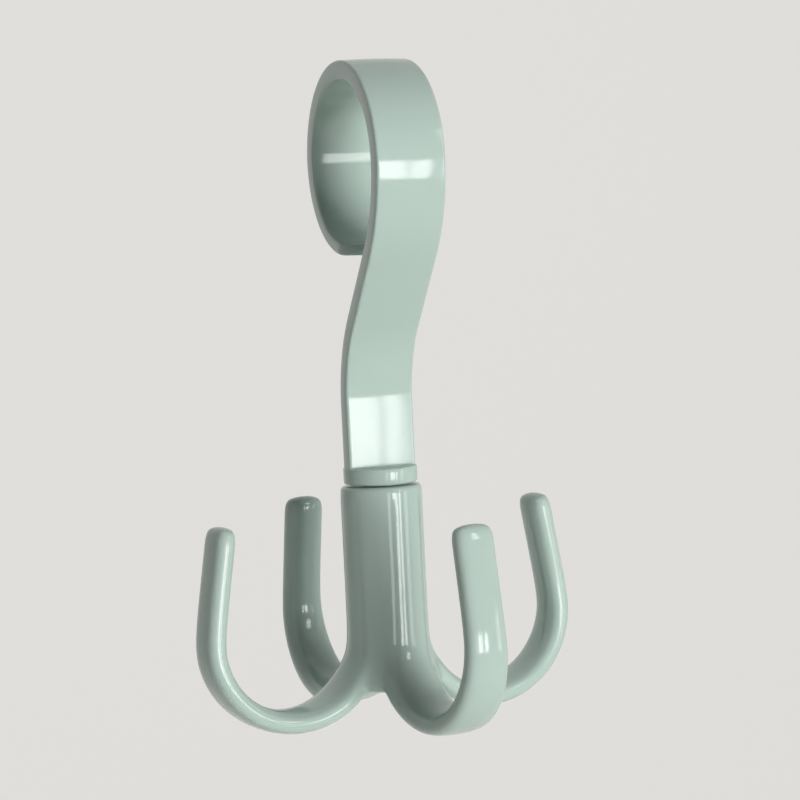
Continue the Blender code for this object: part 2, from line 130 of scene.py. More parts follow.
# Hub and claws
CLAW_COUNT = 4
HUB_TURN = 7.0 * DEGREE
HUB_RADIUS = 9.6 * MM
HUB_HEIGHT = 48.2 * MM
HUB_RIM = 0.7 * MM
HUB_SUPPORT = 3.0 * HUB_RIM
HUB_BOTTOM_Z = HUB_TOP_Z - HUB_HEIGHT
BORE_RADIUS = 4.5 * MM
RECESS_RADIUS = 6.5 * MM
CLAW_ARC_RADIUS = 19.85 * MM
CLAW_ARC_REACH = 25.8 * MM
CLAW_ARC_DROP = 32.9 * MM
CLAW_ROOT_ANGLE = 42.0 * DEGREE
CLAW_LEAN = 9.7 * DEGREE
CLAW_TIP_DROP = 6.1 * MM
CLAW_ROOT_WIDTH = 14.6 * MM
CLAW_WIDTH = 9.7 * MM
CLAW_THICKNESS = 5.4 * MM
CLAW_END_RADIUS = 2.7 * MM
CLAW_ROOT_HEIGHT = 8.4 * MM
CLAW_FILLET_HEIGHT = 6.0 * MM
CLAW_ARC_STEPS = 8
WEB_FLARE = 3.0 * MM
WEB_CLOSING = 8.0 * DEGREE
WEB_RISE = 0.9 * MM
CUT_OVERRUN = 3.0 * MM

# Cage of a claw: points on each side of a section, those round its rim from a corner, how far the
# corners stand as shares of half the section's size, the last sections as distances and insets
# in end radii, and the end's dome
SECTION_SIDE = 3
SECTION_RIM = (0, 1, 2, 5, 8, 7, 6, 3)
SIDE_CORNER_SHARE = 0.88
OUTER_CORNER_SHARE = 0.92
INNER_CORNER_SHARE = 0.74
CLAW_END_SHARES = ((1.9, 0.0), (0.95, 0.0), (0.13, 0.22))
CLAW_DOME_SHARE = 0.32

# Cage of the hub: columns round it, and those of a quarter, each with the way to the web beside
# it, the web's growth down the root, the inner ring of the underside, its soft edge, and the
# subdivision's levels
CAGE_COLUMNS = 3 * CLAW_COUNT
QUARTER_COLUMNS = ((-1, -1.0), (0, 0.0), (1, 1.0), (2, -1.0))
WEB_SHARES = (0.12, 0.5, 1.0)
BOTTOM_RING_SHARE = 0.72
BOTTOM_CREASE_SHARE = 0.3
HUB_LEVELS = 3

# Washer, and the pan-head screw with its self-cutting thread
WASHER_RADIUS = WASHER_HIGH[0]
WASHER_HOLE_RADIUS = 2.0 * MM
WASHER_TOP_EDGE = 0.28 * MM
WASHER_BOTTOM_EDGE = 0.1 * MM
WASHER_EDGE_STEPS = 5
SEAT_GAP = 0.3 * MM
SCREW_SEAT_Z = WASHER_LOW[2] - SEAT_GAP
SCREW_TIP_Z = SCREW_HIGH[2]
SCREW_CORE_RADIUS = 1.3 * MM
SCREW_SHANK_SINK = 0.4 * MM
SCREW_POINT_LENGTH = 2.6 * MM
SCREW_POINT_SHARE = 0.15
THREAD_HEIGHT = 0.42 * MM
THREAD_PITCH = 1.35 * MM
THREAD_RIDGE_SHARE = 0.42
THREAD_COLUMNS = 48
THREAD_ROWS = 200
SCREW_HEAD_RADIUS = SCREW_HIGH[0]
SCREW_HEAD_RIM = 0.9 * MM
SCREW_HEAD_EDGE = 0.15 * MM
SCREW_DOME_STEPS = 14
RECESS_WINGS = 4
RECESS_TURN = 24.0 * DEGREE
RECESS_SPAN = 4.0 * MM
RECESS_SLOT = 1.15 * MM
RECESS_SLOT_END = 0.75 * MM
RECESS_DEPTH = 1.5 * MM
RECESS_FLOOR_SHARE = 0.42

# Where the polish is rubbed dull: the top of the ring's bore, and the inside of the claws' bends
BORE_RUB_ANGLE = 75.0 * DEGREE
BORE_RUB_DEPTH = 0.3 * MM
CLAW_RUB_ANGLE = 55.0 * DEGREE
CLAW_RUB_DEPTH = 1.6 * MM

# Finishes
SAGE = (0.47, 0.60, 0.54, 1.0)
SAGE_DRIFT = (0.455, 0.575, 0.515, 1.0)
ZINC = (0.62, 0.63, 0.65, 1.0)
PLASTIC_IOR = 1.52
PLASTIC_POLISH = 0.05
PLASTIC_BUMP = 0.12 * MM
DRIFT_SCALE = 38.0
DRIFT_DETAIL = 3.0
FLOW_SCALE = 70.0
FLOW_DETAIL = 1.0
FLOW_STRETCH = (1.0, 1.0, 0.45)
PEEL_SCALE = 2600.0
PEEL_DETAIL = 2.0
PEEL_SHARE = 0.035
SMEAR_SCALE = 240.0
SMEAR_DETAIL = 4.0
SMEAR_STRETCH = (1.0, 1.0, 0.25)
SMEAR_ROUGHNESS = 0.06
HAIRLINE_SCALE = 1500.0
HAIRLINE_DETAIL = 2.0
HAIRLINE_STRETCH = (1.0, 1.0, 0.035)
HAIRLINE_CROSS_STRETCH = (0.03, 1.0, 1.0)
HAIRLINE_FROM = 0.66
HAIRLINE_TO = 0.74
HAIRLINE_ROUGHNESS = 0.05
HAIRLINE_DEPTH = -0.02
RUB_ROUGHNESS = 0.22
WASHER_ROUGHNESS = 0.30
SCREW_ROUGHNESS = 0.22
DULL_ROUGHNESS = 0.25
DULL_SHADE = 0.72
DULL_UP_TO = 0.35
BRIGHT_FROM = 0.65
BLOTCH_SCALE = 900.0
BLOTCH_DETAIL = 4.0
TURNING_MARKS_SCALE = 2500.0
TURNING_MARKS_WAVER = 1.5
STEEL_BUMP = 0.01 * MM

# Studio: a pale paper that sweeps up behind, and lamps seen from the hook by azimuth from the
# front and elevation, in degrees, with their radiance, whether the gloss mirrors them and
# whether they light the hook
FLOOR_DROP = 1100.0 * MM
PAPER_DEPTH = 4000.0 * MM
PAPER_RISE = 5000.0 * MM
PAPER_WIDTH = 12000.0 * MM
PAPER_BEND = 1200.0 * MM
PAPER_STEPS = 16
PAPER_COLOUR = (0.80, 0.79, 0.77, 1.0)
PAPER_ROUGHNESS = 0.9
PAPER_GLOSS = 0.1
PALE_COLOUR = (0.73, 0.72, 0.70, 1.0)
PALE_SHARE = 0.78
PAPER_PALE_STRENGTH = 1.235
AMBIENT_COLOUR = (0.96, 0.98, 1.0, 1.0)
AMBIENT_STRENGTH = 0.07
LIGHT_TARGET = Vector((0.0, 0.0, -60.0 * MM))
LIGHT_DISTANCE = 2000.0 * MM
LIGHTS = (
    ("window_pane_left", 10.5, 20.6, -11.8, 0.5, 9.6, True, True),
    ("window_pane_middle", 21.4, 25.4, -11.8, 0.1, 8.8, True, True),
    ("window_pane_right", 28.8, 34.2, -11.8, 0.1, 8.8, True, False),
    ("window_high", 31.0, 38.5, 13.2, 29.0, 5.8, True, False),
    ("strip_front", -4.0, 4.0, -11.8, 0.5, 3.2, True, True),
    ("strip_side", 45.0, 56.0, -12.0, 3.0, 2.6, True, True),
    ("soft_side", 64.0, 110.0, -14.0, 30.0, 0.15, True, True),
    ("window_spill", 5.0, 24.0, -25.0, 35.0, 6.5, False, True),
    ("wall_left", -160.0, -80.0, -40.0, 40.0, 0.28, False, True),
    ("wall_back", 150.0, 200.0, -10.0, 60.0, 1.5, False, True),
    ("bounce_below", -40.0, 40.0, -84.0, -52.0, 0.9, False, True),
)

# Camera of the photograph: a long lens at the left front, a little above, with the distances of
# the ring's centre from the middle of the picture
CAMERA_AZIMUTH = 21.35 * DEGREE
CAMERA_ELEVATION = 4.13 * DEGREE
CAMERA_ROLL = -2.79 * DEGREE
CAMERA_DISTANCE = 593.3 * MM
CAMERA_RIGHT = -5.97 * MM
CAMERA_UP = 55.15 * MM
CAMERA_SENSOR = 36.0
CAMERA_LENS = 115.8
CAMERA_CLIP_NEAR = 10.0 * MM
CAMERA_CLIP_FAR = 20000.0 * MM

# A section of a claw: its middle, its turn from pointing down, its size, its bend and its dome
Station = namedtuple("Station", "reach height turn width thickness bend dome")


def mesh_object(name, mesh):
    piece = bpy.data.objects.new(name, mesh)
    bpy.context.scene.collection.objects.link(piece)
    return piece


def applied(piece):
    """The piece with its modifiers and its place worked into a plain mesh at the origin."""
    bpy.context.view_layer.update()
    graph = bpy.context.evaluated_depsgraph_get()
    mesh = bpy.data.meshes.new_from_object(piece.evaluated_get(graph))
    mesh.transform(piece.matrix_world)
    name = piece.name
    bpy.data.objects.remove(piece, do_unlink=True)
    mesh.name = name
    return mesh_object(name, mesh)


def with_boolean(piece, other, operation):
    """The piece joined with, or cut by, another that is used up."""
    join = piece.modifiers.new("Join", "BOOLEAN")
    join.operation = operation
    join.solver = "EXACT"
    join.object = other
    joined = applied(piece)
    bpy.data.objects.remove(other, do_unlink=True)
    return joined


def shade(piece, sharp_angle):
    """Smooth shading, apart from the edges that bend by more than the sharp angle."""
    piece.data.shade_smooth()
    piece.data.set_sharp_from_angle(angle=sharp_angle)


def turned(name, profile, closed=False):
    """Radius and height pairs turned about the swivel's axis by a Screw modifier."""
    mesh = bpy.data.meshes.new(name)
    points = [(radius, 0.0, height) for radius, height in profile]
    edges = [(index, index + 1) for index in range(len(points) - 1)]
    if closed:
        edges.append((len(points) - 1, 0))
    mesh.from_pydata(points, edges, [])
    piece = mesh_object(name, mesh)
    screw = piece.modifiers.new("Turn", "SCREW")
    screw.axis = "Z"
    screw.angle = math.tau
    screw.steps = TURNED_STEPS
    screw.render_steps = TURNED_STEPS
    screw.use_merge_vertices = True
    screw.merge_threshold = WELD_DISTANCE
    piece.location = (0.0, HUB_SETBACK, 0.0)
    return applied(piece)


def math_node(tree, operation, *values):
    """The output of a Math node whose inputs are numbers or other nodes' outputs."""
    node = tree.nodes.new("ShaderNodeMath")
    node.operation = operation
    for socket, value in zip(node.inputs, values):
        if isinstance(value, (int, float)):
            socket.default_value = value
        else:
            tree.links.new(value, socket)
    return node.outputs[0]


def new_tree(name, kind, inputs, outputs):
    """A node group with named sockets, given as name and kind, and its two end nodes."""
    tree = bpy.data.node_groups.new(name, kind)
    for title, socket in inputs:
        tree.interface.new_socket(title, in_out="INPUT", socket_type="NodeSocket" + socket)
    for title, socket in outputs:
        tree.interface.new_socket(title, in_out="OUTPUT", socket_type="NodeSocket" + socket)
    return tree, tree.nodes.new("NodeGroupInput"), tree.nodes.new("NodeGroupOutput")


def add_tree(piece, tree, values):
    """A geometry nodes modifier with its inputs set by their sockets' identifiers."""
    modifier = piece.modifiers.new(tree.name, "NODES")
    modifier.node_group = tree
    for item in tree.interface.items_tree:
        if item.in_out == "INPUT" and item.name in values:
            modifier[item.identifier] = values[item.name]


def repeat_round_axis_tree():
    """Geometry nodes that repeat a wedge round the Z axis and weld it into one closed cage."""
    inputs = (
        ("Wedge", "Geometry"), ("Count", "Int"), ("Turn", "Float"),
        ("Weld Distance", "Float"), ("Finish", "Material"),
    )
    outputs = (("Cage", "Geometry"),)
    tree, given, made = new_tree("repeat_round_axis", "GeometryNodeTree", inputs, outputs)
    nodes, links = tree.nodes, tree.links
    points = nodes.new("GeometryNodePoints")
    place = nodes.new("GeometryNodeInstanceOnPoints")
    index = nodes.new("GeometryNodeInputIndex")
    turn = nodes.new("ShaderNodeCombineXYZ")
    real = nodes.new("GeometryNodeRealizeInstances")
    weld = nodes.new("GeometryNodeMergeByDistance")
    finish = nodes.new("GeometryNodeSetMaterial")
    step = math_node(tree, "DIVIDE", math.tau, given.outputs["Count"])
    angle = math_node(tree, "MULTIPLY_ADD", index.outputs["Index"], step, given.outputs["Turn"])
    links.new(angle, turn.inputs["Z"])
    links.new(given.outputs["Count"], points.inputs["Count"])
    links.new(points.outputs[0], place.inputs["Points"])
    links.new(given.outputs["Wedge"], place.inputs["Instance"])
    links.new(turn.outputs[0], place.inputs["Rotation"])
    links.new(place.outputs[0], real.inputs[0])
    links.new(real.outputs[0], weld.inputs["Geometry"])
    links.new(given.outputs["Weld Distance"], weld.inputs["Distance"])
    links.new(weld.outputs[0], finish.inputs["Geometry"])
    links.new(given.outputs["Finish"], finish.inputs["Material"])
    links.new(finish.outputs[0], made.inputs["Cage"])
    return tree


def shank_growth(tree, given, place):
    """How far out the shank's wall stands here, in core radii: further along the thread's helix,
    and drawn in to a point at the upper end."""
    apart = tree.nodes.new("ShaderNodeSeparateXYZ")
    tree.links.new(place, apart.inputs[0])
    height = math_node(tree, "MULTIPLY_ADD", given.outputs["Length"], 0.5, apart.outputs["Z"])
    round_share = math_node(tree, "ARCTAN2", apart.outputs["Y"], apart.outputs["X"])
    round_share = math_node(tree, "DIVIDE", round_share, math.tau)
    pitches = math_node(tree, "DIVIDE", height, given.outputs["Pitch"])
    phase = math_node(tree, "FRACT", math_node(tree, "SUBTRACT", pitches, round_share))
    off_ridge = math_node(tree, "ABSOLUTE", math_node(tree, "SUBTRACT", phase, 0.5))
    half_ridge = math_node(tree, "MULTIPLY", given.outputs["Ridge Share"], 0.5)
    ridge = math_node(tree, "SUBTRACT", 1.0, math_node(tree, "DIVIDE", off_ridge, half_ridge))
    ridge = math_node(tree, "MAXIMUM", ridge, 0.0)
    to_tip = math_node(tree, "SUBTRACT", given.outputs["Length"], height)
    to_tip = math_node(tree, "DIVIDE", to_tip, given.outputs["Point Length"])
    to_tip = math_node(tree, "MINIMUM", to_tip, 1.0)
    from_head = math_node(tree, "MINIMUM", pitches, 1.0)
    swell = math_node(tree, "MULTIPLY", math_node(tree, "MULTIPLY", ridge, to_tip), from_head)
    swell = math_node(tree, "MULTIPLY", swell, given.outputs["Thread Height"])
    core = math_node(tree, "MULTIPLY_ADD", to_tip, 1.0 - SCREW_POINT_SHARE, SCREW_POINT_SHARE)
    radius = math_node(tree, "MULTIPLY_ADD", core, given.outputs["Core Radius"], swell)
    return math_node(tree, "DIVIDE", radius, given.outputs["Core Radius"])


def threaded_shank_tree():
    """Geometry nodes for a screw's shank, standing on Z: a fine cylinder with its wall moved."""
    inputs = (
        ("Core Radius", "Float"), ("Thread Height", "Float"), ("Pitch", "Float"),
        ("Ridge Share", "Float"), ("Length", "Float"), ("Point Length", "Float"),
        ("Columns", "Int"), ("Rows", "Int"), ("Finish", "Material"),
    )
    outputs = (("Shank", "Geometry"),)
    tree, given, made = new_tree("threaded_shank", "GeometryNodeTree", inputs, outputs)
    nodes, links = tree.nodes, tree.links
    cylinder = nodes.new("GeometryNodeMeshCylinder")
    links.new(given.outputs["Columns"], cylinder.inputs["Vertices"])
    links.new(given.outputs["Rows"], cylinder.inputs["Side Segments"])
    links.new(given.outputs["Core Radius"], cylinder.inputs["Radius"])
    links.new(given.outputs["Length"], cylinder.inputs["Depth"])
    place = nodes.new("GeometryNodeInputPosition")
    growth = shank_growth(tree, given, place.outputs[0])
    spread = nodes.new("ShaderNodeCombineXYZ")
    spread.inputs["Z"].default_value = 1.0
    links.new(growth, spread.inputs["X"])
    links.new(growth, spread.inputs["Y"])
    moved = nodes.new("ShaderNodeVectorMath")
    moved.operation = "MULTIPLY"
    links.new(place.outputs[0], moved.inputs[0])
    links.new(spread.outputs[0], moved.inputs[1])
    shaped = nodes.new("GeometryNodeSetPosition")
    links.new(cylinder.outputs["Mesh"], shaped.inputs["Geometry"])
    links.new(moved.outputs[0], shaped.inputs["Position"])
    real = nodes.new("GeometryNodeRealizeInstances")
    finish = nodes.new("GeometryNodeSetMaterial")
    links.new(shaped.outputs[0], real.inputs[0])
    links.new(real.outputs[0], finish.inputs["Geometry"])
    links.new(given.outputs["Finish"], finish.inputs["Material"])
    links.new(finish.outputs[0], made.inputs["Shank"])
    return tree


def on_circle(centre, radius, angle):
    """A point in the Y-Z plane, at an angle from straight up towards the back."""
    return (centre[0] + radius * math.sin(angle), centre[1] + radius * math.cos(angle))


def strap_depth(angle):
    """Thickness of the ring: full over the top and front, thinning towards the tip."""
    share = max((angle - TAPER_START_ANGLE) / (TIP_ANGLE - TAPER_START_ANGLE), 0.0)
    return STRAP_THICKNESS + share * (TIP_THICKNESS - STRAP_THICKNESS)


def strap_stations():
    """Stations from tip to stem: a point on the side of the bore, the way out and the thickness."""
    centre = (0.0, RING_CENTRE_Z)
    ring_front = -math.pi / 2.0
    stations = []
    end_angle = TIP_ANGLE + TIP_THICKNESS / 2.0 / RING_BORE_RADIUS
    for step in range(RING_STEPS + 1):
        angle = end_angle + (ring_front - end_angle) * step / RING_STEPS
        depth = strap_depth(min(angle, TIP_ANGLE))
        normal = (math.sin(angle), math.cos(angle))
        stations.append((on_circle(centre, RING_BORE_RADIUS, angle), normal, depth))
    front = (FRONT_RADIUS - RING_BORE_RADIUS - STRAP_THICKNESS, RING_CENTRE_Z)
    for step in range(1, FRONT_STEPS + 1):
        angle = ring_front - SLOPE_ANGLE * step / FRONT_STEPS
        normal = (math.sin(angle), math.cos(angle))
        place = on_circle(front, FRONT_RADIUS - STRAP_THICKNESS, angle)
        stations.append((place, normal, STRAP_THICKNESS))
    outer_start = on_circle(front, FRONT_RADIUS, ring_front - SLOPE_ANGLE)
    stem_front = HUB_SETBACK - STRAP_THICKNESS / 2.0
    bend_gain = NECK_RADIUS * (1.0 - math.cos(SLOPE_ANGLE))
    slope = (stem_front - outer_start[0] - bend_gain) / math.sin(SLOPE_ANGLE)
    start, normal = stations[-1][:2]
    for step in range(1, SLOPE_STEPS):
        run = slope * step / SLOPE_STEPS
        place = (start[0] + run * math.sin(SLOPE_ANGLE), start[1] - run * math.cos(SLOPE_ANGLE))
        stations.append((place, normal, STRAP_THICKNESS))
    neck_y = outer_start[0] + slope * math.sin(SLOPE_ANGLE) - NECK_RADIUS * math.cos(SLOPE_ANGLE)
    neck_z = outer_start[1] - slope * math.cos(SLOPE_ANGLE) - NECK_RADIUS * math.sin(SLOPE_ANGLE)
    for step in range(NECK_STEPS + 1):
        angle = math.pi / 2.0 - SLOPE_ANGLE * (1.0 - step / NECK_STEPS)
        place = on_circle((neck_y, neck_z), NECK_RADIUS + STRAP_THICKNESS, angle)
        stations.append((place, (-math.sin(angle), -math.cos(angle)), STRAP_THICKNESS))
    top = stations[-1][0]
    stem_end = COLLAR_TOP_Z - COLLAR_HEIGHT / 2.0
    for step in range(1, STEM_STEPS + 1):
        height = top[1] + (stem_end - top[1]) * step / STEM_STEPS
        stations.append(((top[0], height), (-1.0, 0.0), STRAP_THICKNESS))
    return stations


def strap_section(half_width, depth, crown):
    """Closed section of across and depth pairs: flat bore side, crowned outer side, round corners."""
    corner = min(STRAP_CORNER_RADIUS, depth * STRAP_CORNER_LIMIT)
    support = half_width - corner - STRAP_SUPPORT
    edge = depth - crown * (1.0 - corner / half_width) ** 2
    outer_face = [share * half_width for share in OUTER_FACE_SHARES] + [support]
    right = [(across, depth - crown * (across / half_width) ** 2) for across in outer_face]
    for step in range(CORNER_STEPS + 1):
        angle = math.pi / 2.0 * (1.0 - step / CORNER_STEPS)
        across = half_width - corner + corner * math.cos(angle)
        right.append((across, edge - corner + corner * math.sin(angle)))
    right.append((half_width, edge / 2.0))
    for step in range(CORNER_STEPS + 1):
        angle = -math.pi / 2.0 * step / CORNER_STEPS
        across = half_width - corner + corner * math.cos(angle)
        right.append((across, corner + corner * math.sin(angle)))
    right.append((support, 0.0))
    right.append((BORE_FACE_SHARE * half_width, 0.0))
    left = [(-across, height) for across, height in reversed(right)]
    return [(0.0, depth)] + right + [(0.0, 0.0)] + left


def end_shrink(distance, radius):
    """How far a round end of this radius draws in at a distance from its very end."""
    left = max(radius - distance, 0.0)
    return radius - math.sqrt(radius * radius - left * left)


def make_strap():
    """The bent strap, lofted through rounded sections, with a rounded tongue at its tip."""
    shape = bmesh.new()
    stations = strap_stations()
    rows = []
    distance = TIP_START
    before = stations[0][0]
    for place, normal, depth in stations:
        distance += math.dist(place, before)
        before = place
        pinch = end_shrink(distance, TIP_THICKNESS / 2.0)
        thickness = depth - 2.0 * pinch
        half_width = STRAP_WIDTH / 2.0 - end_shrink(distance, TIP_CORNER_RADIUS)
        crown = min(STRAP_CROWN, thickness * STRAP_CROWN_LIMIT)
        row = []
        for across, height in strap_section(half_width, thickness, crown):
            lift = height + pinch
            point = (across, place[0] + normal[0] * lift, place[1] + normal[1] * lift)
            row.append(shape.verts.new(point))
        rows.append(row)
    count = len(rows[0])
    for row, after in zip(rows, rows[1:]):
        for index in range(count):
            follow = (index + 1) % count
            shape.faces.new((row[index], row[follow], after[follow], after[index]))
    shape.faces.new(rows[0])
    shape.faces.new(list(reversed(rows[-1])))
    bmesh.ops.recalc_face_normals(shape, faces=shape.faces)
    mesh = bpy.data.meshes.new("hook_moulding")
    shape.to_mesh(mesh)
    shape.free()
    return mesh_object("hook_moulding", mesh)


def upper_corner(radius, height, edge):
    """Points round the upper outer corner of a turned profile, which is drawn downwards."""
    points = []
    for step in range(EDGE_STEPS + 1):
        angle = math.pi / 2.0 * step / EDGE_STEPS
        points.append((radius - edge + edge * math.sin(angle), height - edge + edge * math.cos(angle)))
    return points


def lower_corner(radius, height, edge):
    """Points round the lower outer corner of a turned profile, which is drawn downwards."""
    points = []
    for step in range(EDGE_STEPS + 1):
        angle = math.pi / 2.0 * step / EDGE_STEPS
        points.append((radius - edge + edge * math.cos(angle), height + edge - edge * math.sin(angle)))
    return points


def make_collar_and_post():
    """Collar, the shoulder under it, and the post with the screw's pilot hole, turned in one."""
    profile = [(0.0, COLLAR_TOP_Z)]
    profile += upper_corner(COLLAR_RADIUS, COLLAR_TOP_Z, COLLAR_EDGE)
    profile += lower_corner(COLLAR_RADIUS, COLLAR_BOTTOM_Z, COLLAR_EDGE)
    profile += [
        (SHOULDER_RADIUS, COLLAR_BOTTOM_Z),
        (SHOULDER_RADIUS, SHOULDER_Z),
        (POST_RADIUS, SHOULDER_Z),
        (POST_RADIUS, POST_END_Z + POST_CHAMFER),
        (POST_RADIUS - POST_CHAMFER, POST_END_Z),
        (PILOT_RADIUS, POST_END_Z),
        (PILOT_RADIUS, POST_END_Z + PILOT_DEPTH),
        (0.0, POST_END_Z + PILOT_DEPTH + PILOT_RADIUS),
    ]
    return turned("collar_and_post", profile)


def make_hook_moulding():
    """Strap, collar and post joined in one moulding."""
    hook = with_boolean(make_strap(), make_collar_and_post(), "UNION")
    shade(hook, SHARP_ANGLE)
    return hook


def cage_gain(step_angle):
    """How many times wider a round cage is than the shape that its subdivision settles on,
    where a point keeps four sixths of its place and takes a sixth of each neighbour's."""
    return 6.0 / (4.0 + 2.0 * math.cos(step_angle))


def arc_station(turn, width, bend):
    """A section on the claw's arc, at a turn measured from the arc's lowest point."""
    reach = CLAW_ARC_REACH + CLAW_ARC_RADIUS * math.sin(turn)
    height = HUB_TOP_Z - CLAW_ARC_DROP - CLAW_ARC_RADIUS * math.cos(turn)
    return Station(reach, height, turn, width, CLAW_THICKNESS, bend, 0.0)


def claw_stations():
    """Sections along one claw from its root, round its arc and up to its domed end."""
    end_turn = math.pi / 2.0 + CLAW_LEAN
    bend = (end_turn + CLAW_ROOT_ANGLE) / CLAW_ARC_STEPS
    stations = []
    for step in range(CLAW_ARC_STEPS):
        width = CLAW_ROOT_WIDTH + (CLAW_WIDTH - CLAW_ROOT_WIDTH) * step / CLAW_ARC_STEPS
        stations.append(arc_station(bend * step - CLAW_ROOT_ANGLE, width, bend))
    foot = arc_station(end_turn, CLAW_WIDTH, 0.0)
    stations.append(foot)
    run = (HUB_TOP_Z - CLAW_TIP_DROP - foot.height) / math.sin(end_turn)
    ends = [(run / 2.0, 0.0)]
    ends += [(run - back * CLAW_END_RADIUS, inset * CLAW_END_RADIUS) for back, inset in CLAW_END_SHARES]
    for distance, inset in ends:
        stations.append(foot._replace(
            reach=foot.reach + distance * math.cos(end_turn),
            height=foot.height + distance * math.sin(end_turn),
            width=CLAW_WIDTH - 2.0 * inset,
            thickness=CLAW_THICKNESS - 2.0 * inset,
        ))
    stations[-1] = stations[-1]._replace(dome=CLAW_DOME_SHARE * CLAW_END_RADIUS)
    return stations


def half_size(size, corner_share, at_corner):
    """Half a section's size in the cage. A side's middle settles at two thirds of its own place
    and a third of its corners', which the gain makes up for."""
    gain = 3.0 / (2.0 + corner_share)
    return size / 2.0 * gain * (corner_share if at_corner else 1.0)


def section_points(station):
    """Three by three points of a claw's section, inner side first, for a claw along X."""
    outer = Vector((math.sin(station.turn), 0.0, -math.cos(station.turn)))
    onward = Vector((math.cos(station.turn), 0.0, math.sin(station.turn)))
    middle = Vector((station.reach, 0.0, station.height))
    middle += outer * CLAW_ARC_RADIUS * (cage_gain(station.bend) - 1.0)
    points = []
    for outward, corner_share in ((-1.0, INNER_CORNER_SHARE), (0.0, 1.0), (1.0, OUTER_CORNER_SHARE)):
        for sideways in (-1.0, 0.0, 1.0):
            off = outward * half_size(station.thickness, corner_share, sideways)
            side = sideways * half_size(station.width, SIDE_CORNER_SHARE, outward)
            points.append(middle + outer * off + Vector((0.0, side, 0.0)))
    points[len(points) // 2] += onward * station.dome
    return points


def hub_rows():
    """Rows of the hub's cage, top to bottom: radius, height and share of web."""
    root_top = HUB_BOTTOM_Z + CLAW_ROOT_HEIGHT
    root_middle = HUB_BOTTOM_Z + CLAW_ROOT_HEIGHT / 2.0
    fillet_top = root_top + CLAW_FILLET_HEIGHT
    rows = [
        (HUB_RADIUS - HUB_SUPPORT, HUB_TOP_Z, 0.0),
        (HUB_RADIUS - HUB_RIM, HUB_TOP_Z, 0.0),
        (HUB_RADIUS, HUB_TOP_Z - HUB_RIM, 0.0),
        (HUB_RADIUS, HUB_TOP_Z - HUB_SUPPORT, 0.0),
        (HUB_RADIUS, (HUB_TOP_Z + fillet_top) / 2.0, 0.0),
        (HUB_RADIUS, fillet_top, 0.0),
    ]
    for height, web in zip((root_top, root_middle, HUB_BOTTOM_Z), WEB_SHARES):
        rows.append((HUB_RADIUS, height, web))
    rows.append((HUB_RADIUS * BOTTOM_RING_SHARE, HUB_BOTTOM_Z, 0.0))
    return rows


def hub_grid(cage):
    """Points of a quarter of the hub's wall, line by line from its top, in the cage."""
    gain = cage_gain(math.tau / CAGE_COLUMNS)
    grid = []
    for radius, height, web in hub_rows():
        line = []
        for column, towards_web in QUARTER_COLUMNS:
            beside = abs(towards_web) * web
            reach = radius * gain + beside * WEB_FLARE
            angle = math.tau * column / CAGE_COLUMNS + towards_web * web * WEB_CLOSING
            place = (reach * math.cos(angle), reach * math.sin(angle), height + beside * WEB_RISE)
            line.append(cage.verts.new(place))
        grid.append(line)
    return grid


def grow_claw(cage, faces, points):
    """Draws the rim of a block of the hub's faces out along the sections of a claw, closes the end
    round a middle point, and opens the block behind it."""
    rim = [points[index] for index in SECTION_RIM]
    for station in claw_stations():
        places = section_points(station)
        after = [cage.verts.new(places[index]) for index in SECTION_RIM]
        for index in range(len(rim)):
            cage.faces.new((rim[index - 1], rim[index], after[index], after[index - 1]))
        rim = after
    middle = cage.verts.new(places[len(places) // 2])
    # Every second point of the rim is a corner
    for corner in range(0, len(rim), 2):
        cage.faces.new((rim[corner - 1], rim[corner], rim[corner + 1], middle))
    bmesh.ops.delete(cage, geom=faces, context="FACES")


def make_quarter_cage():
    """A quarter of the hub's wall with its claw along X, as an open cage to be repeated."""
    cage = bmesh.new()
    grid = hub_grid(cage)
    strips = range(len(QUARTER_COLUMNS) - 1)
    faces = []
    for upper, lower in zip(grid, grid[1:]):
        row = []
        for column in strips:
            corners = (upper[column], lower[column], lower[column + 1], upper[column + 1])
            row.append(cage.faces.new(corners))
        faces.append(row)
    for line, height in ((grid[0], HUB_TOP_Z), (grid[-1], HUB_BOTTOM_Z)):
        middle = cage.verts.new((0.0, 0.0, height))
        for column in strips:
            cage.faces.new((line[column], line[column + 1], middle))
    root_top = len(grid) - 1 - len(WEB_SHARES)
    root_lines = grid[root_top:root_top + SECTION_SIDE]
    root_rows = faces[root_top:root_top + SECTION_SIDE - 1]
    root_points = [point for line in root_lines for point in line[:SECTION_SIDE]]
    root_faces = [face for row in root_rows for face in row[:SECTION_SIDE - 1]]
    grow_claw(cage, root_faces, root_points)
    bmesh.ops.recalc_face_normals(cage, faces=cage.faces)
    # The underside's edge between two claws is held a little sharper
    crease = cage.edges.layers.float.new("crease_edge")
    web_edge = root_lines[-1][-2:]
    cage.edges.get(web_edge)[crease] = BOTTOM_CREASE_SHARE
    mesh = bpy.data.meshes.new("quarter_cage")
    cage.to_mesh(mesh)
    cage.free()
    return mesh


def make_hub_core():
    """The hollow of the hub: the bore round the post and the wide recess below its ledge."""
    profile = [
        (0.0, HUB_TOP_Z + CUT_OVERRUN),
        (BORE_RADIUS, HUB_TOP_Z + CUT_OVERRUN),
        (BORE_RADIUS, POST_END_Z),
        (RECESS_RADIUS, POST_END_Z),
        (RECESS_RADIUS, HUB_BOTTOM_Z - CUT_OVERRUN),
        (0.0, HUB_BOTTOM_Z - CUT_OVERRUN),
    ]
    return turned("hub_core", profile)


